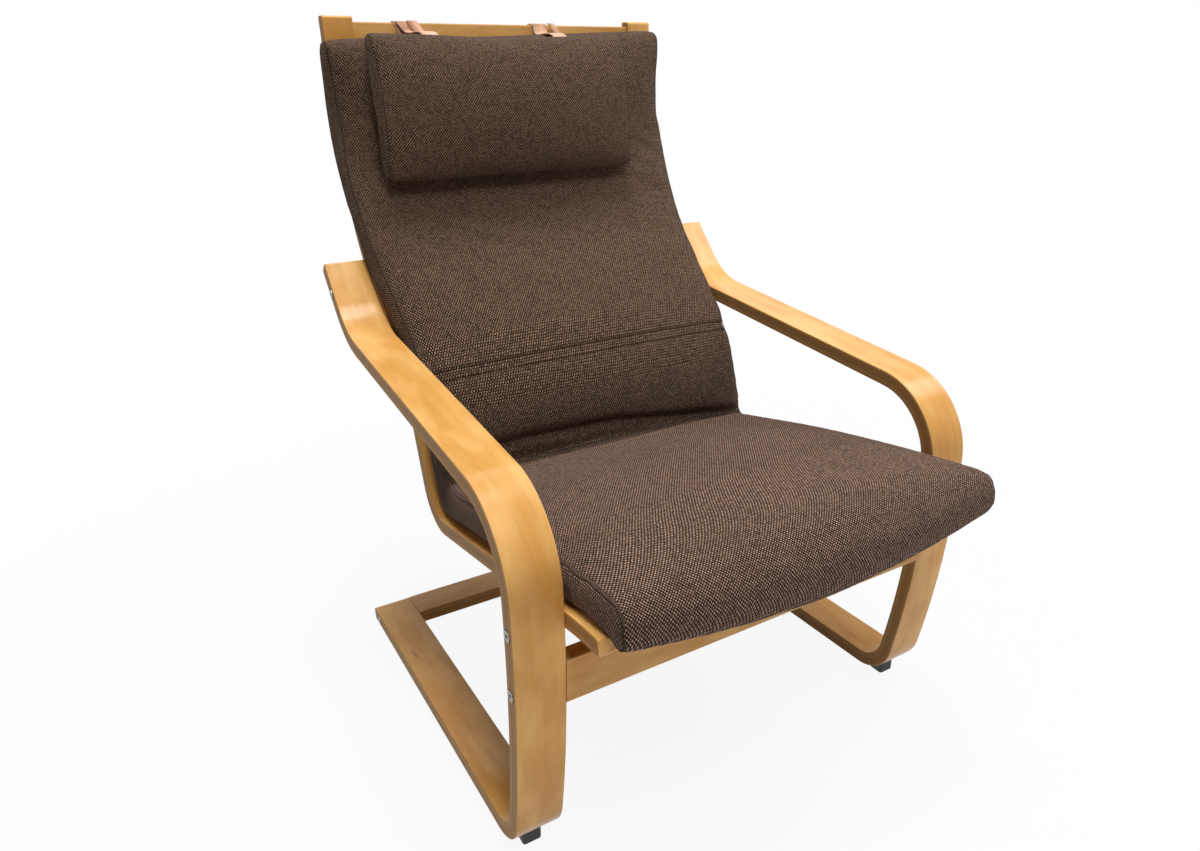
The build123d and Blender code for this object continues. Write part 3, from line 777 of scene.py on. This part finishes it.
def ring_faces(rings, size, closed=False):
    """Faces between rings of points, with a cap at each end unless the last ring meets the first."""
    faces = []
    for ring in range(rings if closed else rings - 1):
        here, there = ring * size, (ring + 1) % rings * size
        for corner in range(size):
            beside = (corner + 1) % size
            faces.append((here + corner, here + beside, there + beside, there + corner))
    if not closed:
        faces.append(tuple(reversed(range(size))))
        faces.append(tuple(range((rings - 1) * size, rings * size)))
    return faces


# %% Tubes
def unit(vectors):
    return vectors / np.linalg.norm(vectors, axis=1, keepdims=True)


def run_along(line):
    """How far along a line of points each point lies."""
    return np.concatenate([[0], np.cumsum(np.linalg.norm(np.diff(line, axis=0), axis=1))])


def tube_rings(line, radius, sides):
    """Rings of points round a line, and their places along and round it."""
    line = np.asarray(line, float)
    ahead = unit(np.gradient(line, axis=0))
    up = np.where(np.abs(ahead[:, :1]) > 0.8, [[0.0, 0.0, 1.0]], [[1.0, 0.0, 0.0]])
    first = unit(np.cross(ahead, up))
    second = np.cross(ahead, first)
    run = run_along(line)
    points, places = [], []
    for number in range(len(line)):
        for side in range(sides):
            angle = side * math.tau / sides
            out = first[number] * math.cos(angle) + second[number] * math.sin(angle)
            points.append(line[number] + radius * out)
            places.append((run[number], angle * radius, 0))
    return points, places


def tubes(name, lines, radius, body, sides=6):
    """One piece that holds a thin tube of thread along each line."""
    points, places, faces = [], [], []
    for line in lines:
        base = len(points)
        more, where = tube_rings(line, radius, sides)
        points += more
        places += where
        faces += [[base + corner for corner in face] for face in ring_faces(len(line), sides)]
    piece = mesh_piece(name, points, faces, thread, body)
    store(piece.data, "cloth", places)
    print(name, len(lines), "lines")


# %% Laying threads
def steadied(line, rounds=3):
    """Evens out a line without moving its ends."""
    line = np.array(line, float)
    for _ in range(rounds):
        line[1:-1] = (line[:-2] + 2 * line[1:-1] + line[2:]) / 4
    return line


def laid_on(tree, targets, lift):
    """The nearest surface points to the targets, lifted a little off the cloth."""
    spots = [tree.find_nearest(Vector(target)) for target in targets]
    return steadied([spot[0] + spot[1] * lift for spot in spots], 2)


# %% Settling
SETTLE_EDGE, SETTLE_MIDDLE = 0.007, 0.012
SETTLE_PLACES = [0.30, 0.45, 0.66, 0.732, 0.97]
SETTLE_SHARES = [0, 1, 1, 0.78, 0]
SETTLE_DEPTH = 0.045
SEAT_DIP, DIP_AT, DIP_SPREAD = 0.010, 0.40, 0.11
TOP_SAG = 0.006


def settle(places):
    """Moves points of the cushion as a used pad sits."""
    places = np.array(places, float)
    along, offset = rail_line.locate(places[:, 1:])
    share = np.clip((places[:, 0] - waist_left) / (waist_right - waist_left), 0, 1)
    bow = np.sin(math.pi * share)
    lift = np.clip((offset - CUSHION_BASE) / SETTLE_DEPTH, 0, 1)
    ramp = np.interp(along, SETTLE_PLACES, SETTLE_SHARES)
    reach = SETTLE_EDGE + (SETTLE_MIDDLE - SETTLE_EDGE) * bow
    forwards = reach * ramp * ramp * (3 - 2 * ramp) * lift
    dip = SEAT_DIP * bow * groove(along - DIP_AT, DIP_SPREAD) * (along < SEAT_END) * lift
    sag = TOP_SAG * bow * np.clip((along - CUSHION_TOP) / SAG_REACH + 1, 0, 1)
    seat_way = rail_line.heading(DIP_AT)
    places[:, 1:] -= forwards[:, None] * towards(seat_way)
    places[:, 1:] -= dip[:, None] * towards(seat_way + math.pi / 2)
    places[:, 1:] -= sag[:, None] * towards(rail_line.heading(CUSHION_TOP))
    return places


# %% Seams of the cushion
SEAM_RADIUS = 0.0007
SEAM_LIFT = -0.0003
BEYOND = 0.008
EDGE_FACE = CUSHION_BASE + 0.048 + BEYOND
EDGE_BASE = CUSHION_BASE - BEYOND
NOSE = -0.040
LIP = 0.010
SEAM_STEP = 0.003
seat_edge = [
    (0.10, EDGE_BASE),
    (0.002, EDGE_BASE),
    (NOSE + 0.016, EDGE_BASE - LIP),
    (NOSE - BEYOND, EDGE_BASE - LIP + 0.024),
    (NOSE - BEYOND, EDGE_FACE - 0.026),
    (NOSE + 0.018, EDGE_FACE),
    (SEAT_END - 0.045, EDGE_FACE),
]
back_edge = [
    (LUMBAR_END - 0.080, EDGE_FACE),
    (CUSHION_TOP - 0.012, EDGE_FACE),
    (CUSHION_TOP + BEYOND, EDGE_FACE - 0.02),
    (CUSHION_TOP + BEYOND, EDGE_BASE + 0.016),
    (CUSHION_TOP - 0.012, EDGE_BASE),
    (0.78, EDGE_BASE),
]


def edge_targets(corners, side):
    """Points every few millimetres along an edge of the cushion's side, just outside it."""
    targets = []
    for (first, first_offset), (last, last_offset) in zip(corners, corners[1:]):
        count = max(2, int(math.hypot(last - first, last_offset - first_offset) / SEAM_STEP))
        for share in np.linspace(0, 1, count, endpoint=False):
            along = first + (last - first) * share
            edge = np.interp(along, width_stations, left_edges if side < 0 else right_edges)
            y, z = rail_line.place(along, first_offset + (last_offset - first_offset) * share)
            targets.append((edge + side * BEYOND, y, z))
    return targets


cushion_tree = cover_tree(cushion)
seam_lines = []
for corners in (seat_edge, back_edge):
    for side in (-1, 1):
        seam_lines.append(settle(laid_on(cushion_tree, edge_targets(corners, side), SEAM_LIFT)))
tubes("cushion_edge_seams", seam_lines, SEAM_RADIUS, "chair")

# %% Stitches
STITCH, STITCH_GAP, STITCH_RADIUS = 0.0048, 0.0013, 0.0005
STITCH_MARGIN = 0.006
ABOVE_FACE = 0.12


def stitch_lines():
    """Single stitches in two rows across the back."""
    lines = []
    for row in (-1, 1):
        along = STITCH_AT + row * STITCH_ROW
        y, z = rail_line.place(along, ABOVE_FACE)
        inward = towards(rail_line.heading(along) - math.pi / 2)
        x = left_edges[4] + STITCH_MARGIN
        while x < right_edges[4] - STITCH_MARGIN:
            ends = []
            for start in (x, x + STITCH / 2, x + STITCH):
                spot = cushion_tree.ray_cast(Vector((start, y, z)), Vector((0, *inward)))
                ends.append(spot[0] + spot[1] * STITCH_RADIUS * 0.3)
            lines.append(settle(ends))
            x += STITCH + STITCH_GAP
    return lines


tubes("back_stitches", stitch_lines(), STITCH_RADIUS, "chair", sides=5)
set_points(cushion.data, settle(points_of(cushion.data)))

# %% Seams of the pillow
RING_UP, RING_OUT = 0.108, 0.040
pillow_tree = cover_tree(pillow)


def pillow_ring(side):
    """The seam round one end of the pillow."""
    end = pillow_high.x if side > 0 else pillow_low.x
    middle = (Vector(pillow_low) + Vector(pillow_high)) / 2
    targets = []
    for angle in np.linspace(0, math.tau, 90):
        ring = UP_PILLOW * math.cos(angle) * RING_UP + OUT_OF_PILLOW * math.sin(angle) * RING_OUT
        targets.append((end + side * BEYOND, middle.y + ring[0], middle.z + ring[1]))
    return laid_on(pillow_tree, targets, SEAM_LIFT)


tubes("pillow_end_seams", [pillow_ring(-1), pillow_ring(1)], SEAM_RADIUS, "pillow")

# %% [markdown]
# ## Leather straps
# Each strap is a band of vegetable-tanned leather, 25 mm wide. One band loops round the top rail, a second
# one runs from there to the top of the pillow, and the loose end lies over it as a short tongue. A band is
# flat, so it is built directly: a small section with eased corners is carried along a line, and the
# direction it faces is given at each point.


# %% Leather
leather = Finish("tan_leather", Specular_IOR_Level=0.35)
strap_along, strap_across, strap_depth = leather.attribute("cloth")
hide_place = leather.vector(strap_along, strap_across, strap_depth)
pores = leather.noise(hide_place, 1900.0, 3.0, 0.65)
blotch = leather.noise(hide_place, 70.0, 3.0, 0.55)
crease = leather.noise(leather.vector(strap_along * 700.0, strap_across * 90.0, 1.0), 1.0, 2.0)
raw_edge = leather.step(abs(strap_across), 0.0116, 0.0124)
HIDE_PALE, HIDE_TAN = (0.72, 0.44, 0.29), (0.58, 0.31, 0.19)
PORE_BROWN, RAW_EDGE = (0.34, 0.16, 0.09), (0.80, 0.58, 0.40)
hide = leather.blend(leather.step(blotch, 0.3, 0.75), HIDE_PALE, HIDE_TAN)
hide = leather.blend(leather.step(pores, 0.58, 0.75) * 0.3, hide, PORE_BROWN)
leather.feed(
    Base_Color=leather.blend(raw_edge * 0.5, hide, RAW_EDGE),
    Roughness=pores * 0.25 + 0.42,
    Normal=leather.bump(pores * 0.5 + crease * 0.5, 0.00018, 0.6),
)
print(leather.material.name, "made")

# %% Bands
STRAP_WIDE, STRAP_THICK, STRAP_GAP = 0.025, 0.0025, 0.0003
STRAP_EASE = 0.0006


def band(name, centres, outs, widths, body, closed=False, level=False):
    """A flat leather band along a line of points, facing the given directions, or kept level across."""
    centres, outs = np.asarray(centres, float), np.asarray(outs, float)
    round_trip = np.roll(centres, -1, 0) - np.roll(centres, 1, 0)
    ahead = unit(round_trip if closed else np.gradient(centres, axis=0))
    outs = unit(outs - ahead * np.sum(outs * ahead, axis=1, keepdims=True))
    aside = np.tile([1.0, 0.0, 0.0], (len(centres), 1)) if level else np.cross(ahead, outs)
    run = run_along(centres)
    deep = STRAP_THICK / 2
    points, places = [], []
    for number, width in enumerate(widths):
        wide = width / 2
        inner = wide - STRAP_EASE
        section = [(-inner, deep), (-wide, deep - STRAP_EASE), (-wide, STRAP_EASE - deep), (-inner, -deep)]
        section += [(-a, b) for a, b in reversed(section)]
        for a, b in section:
            points.append(centres[number] + aside[number] * a + outs[number] * b)
            places.append((run[number], a, b))
    faces = [face[::-1] for face in ring_faces(len(widths), len(section), closed)]
    piece = mesh_piece(name, points, faces, leather, body)
    store(piece.data, "cloth", places)
    sharp = piece.modifiers.new("edges", "EDGE_SPLIT")
    sharp.split_angle = math.radians(50)
    print(name, "band of", round(run[-1] / MM), "mm")
    return piece


# %% Strap loops
TOP_RAIL_END = rail_line.length - 0.008
RAIL_TALL = 0.060
LOOP_LOW = TOP_RAIL_END - RAIL_TALL - STRAP_GAP - STRAP_THICK / 2
LOOP_HIGH = TOP_RAIL_END + STRAP_GAP + STRAP_THICK / 2
LOOP_FACE = 0.007 + STRAP_GAP + STRAP_THICK / 2
LOOP_BACK = -0.008 - STRAP_GAP - STRAP_THICK / 2
LOOP_CORNER = 0.0024
HEAD_SLOPE = rail_line.heading(rail_line.length)
head_up, head_out = towards(HEAD_SLOPE), towards(HEAD_SLOPE + math.pi / 2)


def strap_mid(hand):
    return across_box(f"{hand}_strap_loop")[0]


def strap_loop(hand, lean):
    """A closed band round the top rail, leaning sideways as it goes down."""
    corners = [(LOOP_HIGH, LOOP_FACE), (LOOP_HIGH, LOOP_BACK), (LOOP_LOW, LOOP_BACK), (LOOP_LOW, LOOP_FACE)]
    centres, outs = [], []
    for number, (along, offset) in enumerate(corners):
        middle_along = along - math.copysign(LOOP_CORNER, along - (LOOP_LOW + LOOP_HIGH) / 2)
        middle_offset = offset - math.copysign(LOOP_CORNER, offset)
        for step in range(6):
            angle = math.radians(number * 90 + step * 18)
            out_up, out_ahead = math.sin(angle), math.cos(angle)
            lifted = middle_offset + out_ahead * LOOP_CORNER
            y, z = rail_line.place(middle_along + out_up * LOOP_CORNER, lifted)
            centres.append((strap_mid(hand) + lean * (LOOP_HIGH - along), y, z))
            outs.append((0, *(head_up * out_up + head_out * out_ahead)))
    loop = band(f"{hand}_strap_band", centres, outs, [STRAP_WIDE] * len(centres), "strap_loops", True)
    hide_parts(f"{hand}_strap_loop")


strap_loop("left", lean=0.25)
strap_loop("right", lean=0.0)


# %% Strap tails
HINGE_GAP = 0.00035
hinge = rail_line.place(LOOP_HIGH, LOOP_FACE + STRAP_THICK + HINGE_GAP)
TAIL_ROUTE = [
    (0, 0),
    (-0.0018, -0.0070),
    (-0.0050, -0.0150),
    (-0.018, -0.0175),
    (-0.045, -0.0165),
    (-0.068, -0.0190),
    (-0.088, -0.0300),
]
TAIL_WIDE = STRAP_WIDE * 0.97


def facing(centres):
    """Directions square to a line in the side view, towards the front."""
    ahead = np.gradient(centres[:, 1:], axis=0)
    return np.stack([np.zeros(len(centres)), ahead[:, 1], -ahead[:, 0]], axis=1)


def route_line(route, steps, x):
    """A line down a route of side-view steps from the hinge, at the given places across."""
    y, z = [hinge[axis] + np.interp(steps, range(len(route)), [p[axis] for p in route]) for axis in (0, 1)]
    return steadied(np.stack([x, y, z], axis=1))


def strap_tail(hand, drift):
    """A band from the top rail to the pillow's top edge, drifting sideways as it comes down the rail."""
    steps = np.linspace(0, len(TAIL_ROUTE) - 1, 31)
    centres = route_line(TAIL_ROUTE, steps, strap_mid(hand) + drift * np.clip(steps / 3, 0, 1))
    widths = [TAIL_WIDE] * len(centres)
    tail = band(f"{hand}_tail_band", centres, facing(centres), widths, "pillow", level=True)
    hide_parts(f"{hand}_strap_tail")


strap_tail("left", drift=0.016)
strap_tail("right", drift=0.0)

# %% Strap tongues
TONGUE_ROUTE = [(-0.0040, 0.0010), (-0.0062, -0.0070), (-0.0080, -0.0140), (-0.0090, -0.0210)]
TONGUE_ROUND = 0.8


def strap_tongue(hand, start, drift, width):
    """The loose end of a strap, which lies over the band and ends in a round."""
    steps = np.linspace(0, len(TONGUE_ROUTE) - 1, 19)
    centres = route_line(TONGUE_ROUTE, steps, strap_mid(hand) + start + drift * steps / steps[-1])
    left_over = np.clip((steps[-1] - steps) / TONGUE_ROUND, 0.02, 1)
    widths = width * np.sqrt(1 - (1 - left_over) ** 2)
    band(f"{hand}_strap_tongue", centres, facing(centres), widths, "pillow", level=True)


strap_tongue("left", start=0.012, drift=0.014, width=0.016)
strap_tongue("right", start=0.018, drift=0.016, width=0.012)

# %% [markdown]
# ## Support sling
# Under the cushion a sheet of strong cloth is stretched between the rails. It follows the line of the
# rails, so it is a long grid with a little thickness, built row by row like the tubes and the bands.

# %% Sling
SLING_OFFSET, SLING_THICK = 0.005, 0.0016
SLING_FRONT = 0.016
SLING_TOP = TOP_RAIL_END - RAIL_TALL - 0.014
SLING_HALF = across_box("support_sling")[1]
SLING_WEAR = 0.2
sling_rows, sling_columns = 130, 24


def sling_sheet():
    """Rings of points round the sheet, one ring for each row, joined into a thin closed form."""
    points, places = [], []
    to_right = np.linspace(-SLING_HALF, SLING_HALF, sling_columns)
    faces_at = (SLING_OFFSET + SLING_THICK / 2, to_right), (SLING_OFFSET - SLING_THICK / 2, to_right[::-1])
    for along in np.linspace(SLING_FRONT, SLING_TOP, sling_rows):
        for offset, across in faces_at:
            y, z = rail_line.place(along, offset)
            points += [(x, y, z) for x in across]
            places += [(x, along, SLING_WEAR) for x in across]
    faces = ring_faces(sling_rows, 2 * sling_columns)
    piece = mesh_piece("stretched_sling", points, faces, sling_cloth, "chair")
    store(piece.data, "cloth", places)
    return piece


sling = sling_sheet()
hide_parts("support_sling")
print("sling", round(2 * SLING_HALF / MM), "x", round((SLING_TOP - SLING_FRONT) / MM), "mm flat")

# %% [markdown]
# ## Camera
# The camera stands where the photograph was taken. Its place, its turn and its lens come from the straight
# edges of the two arm frames, and the shift of the lens puts the optical centre where the fit found it.

# %% Camera
IMAGE_WIDE, IMAGE_HIGH = 1200, 851
FOCAL_PIXELS = 886.446
CENTRE_X, CENTRE_Y = 680.634, 415.768
YAW, PITCH, ROLL = -0.566605, 0.354659, 0.0214753
CAMERA_PLACE = (-0.60670, -1.06744, 0.89008)
SENSOR = 36
camera_data = bpy.data.cameras.new("camera")
camera = add_object("camera", camera_data)
forward = Vector((-math.sin(YAW) * math.cos(PITCH), math.cos(YAW) * math.cos(PITCH), -math.sin(PITCH)))
level = Vector((math.cos(YAW), math.sin(YAW), 0))
down = forward.cross(level)
right = level * math.cos(ROLL) + down * math.sin(ROLL)
down = down * math.cos(ROLL) - level * math.sin(ROLL)
turn = Matrix((right, -down, -forward)).transposed()
camera.matrix_world = Matrix.Translation(CAMERA_PLACE) @ turn.to_4x4()
camera_data.sensor_width = SENSOR
camera_data.lens = FOCAL_PIXELS / IMAGE_WIDE * SENSOR
camera_data.shift_x = (IMAGE_WIDE / 2 - CENTRE_X) / IMAGE_WIDE
camera_data.shift_y = (CENTRE_Y - IMAGE_HIGH / 2) / IMAGE_WIDE
camera_data.clip_start = 0.01
bpy.context.scene.camera = camera
print("camera lens", round(camera_data.lens, 2), "mm")


# %% [markdown]
# ## Floor, world and lamps
# The photograph is a cut-out on white, lit softly from the front and above. A pale floor and a white world
# give the background. Both show as plain white to the camera and in reflections, while the light they
# give to the chair is weaker, so that the lamps can shape it. The floor keeps a little of its own paint
# near the chair, and so its shadow.


# %% Floor
def seen_plainly(nodes):
    """1 for rays from the camera and for reflections, 0 for light that falls on the chair."""
    rays = ("Is Camera Ray", "Is Glossy Ray", "Is Transmission Ray")
    camera_ray, glossy_ray, clear_ray = [nodes.node("ShaderNodeLightPath", output=ray) for ray in rays]
    total = camera_ray + glossy_ray + clear_ray
    return total.math("MINIMUM", 1.0)


WHITE = (1, 1, 1, 1)
FLOOR_PAINT = (0.80, 0.80, 0.80, 1)
FLOOR_HALF = 12.0
WHITE_NEAR, WHITE_SPREAD = 0.90, 0.06
floor_mesh = bpy.data.meshes.new("floor")
floor_corners = [(x * FLOOR_HALF, y * FLOOR_HALF, 0) for x, y in ((-1, -1), (1, -1), (1, 1), (-1, 1))]
floor_mesh.from_pydata(floor_corners, [], [(0, 1, 2, 3)])
floor = add_object("floor", floor_mesh)
floor_material = bpy.data.materials.new("white_floor")
floor_nodes = Nodes(floor_material)
paint = floor_nodes.node("ShaderNodeBsdfDiffuse", None, {"Color": FLOOR_PAINT})
glow = floor_nodes.node("ShaderNodeEmission", None, {"Color": WHITE})
floor_place = floor_nodes.node("ShaderNodeNewGeometry", output="Position")
from_middle = floor_nodes.node("ShaderNodeVectorMath", {"operation": "LENGTH"}, {0: floor_place}, "Value")
white_share = from_middle * WHITE_SPREAD + WHITE_NEAR
white_share = white_share.math("MINIMUM", 1.0) * seen_plainly(floor_nodes)
floor_surface = floor_nodes.node("ShaderNodeMixShader", None, {0: white_share, 1: paint, 2: glow})
floor_nodes.node("ShaderNodeOutputMaterial", None, {"Surface": floor_surface})
floor_mesh.materials.append(floor_material)
print("floor", 2 * FLOOR_HALF, "m across")

# %% World
WORLD_LIGHT = 0.01
world = bpy.data.worlds.new("studio")
world_nodes = Nodes(world)
strength = seen_plainly(world_nodes) * (1 - WORLD_LIGHT) + WORLD_LIGHT
sky = world_nodes.node("ShaderNodeBackground", None, {"Color": WHITE, "Strength": strength})
world_nodes.node("ShaderNodeOutputWorld", None, {"Surface": sky})
bpy.context.scene.world = world
print("light from the world", WORLD_LIGHT)


# %% Lamps
CHAIR_MIDDLE = (0, 0, 0.45)


def softbox(name, place, size, power):
    """A square lamp that points at the chair."""
    data = bpy.data.lights.new(name, "AREA")
    data.size = size
    data.energy = power
    lamp = add_object(name, data)
    lamp.location = place
    aim = Vector(CHAIR_MIDDLE) - Vector(place)
    lamp.rotation_euler = aim.to_track_quat("-Z", "Y").to_euler()
    print(name, "lamp of", power, "W")


softbox("overhead", (0.0, 0.1, 4.0), 1.2, 80)
softbox("high_front", (-0.4, -2.2, 3.6), 0.9, 64)
softbox("high_left", (-2.5, -0.3, 3.2), 1.4, 9)
softbox("high_right", (2.5, -0.3, 3.2), 1.4, 42)
softbox("high_back", (0.3, 2.4, 3.2), 1.4, 9)
softbox("right", (3.2, -1.4, 1.2), 1.6, 18)
bpy.context.scene.view_settings.view_transform = "Standard"
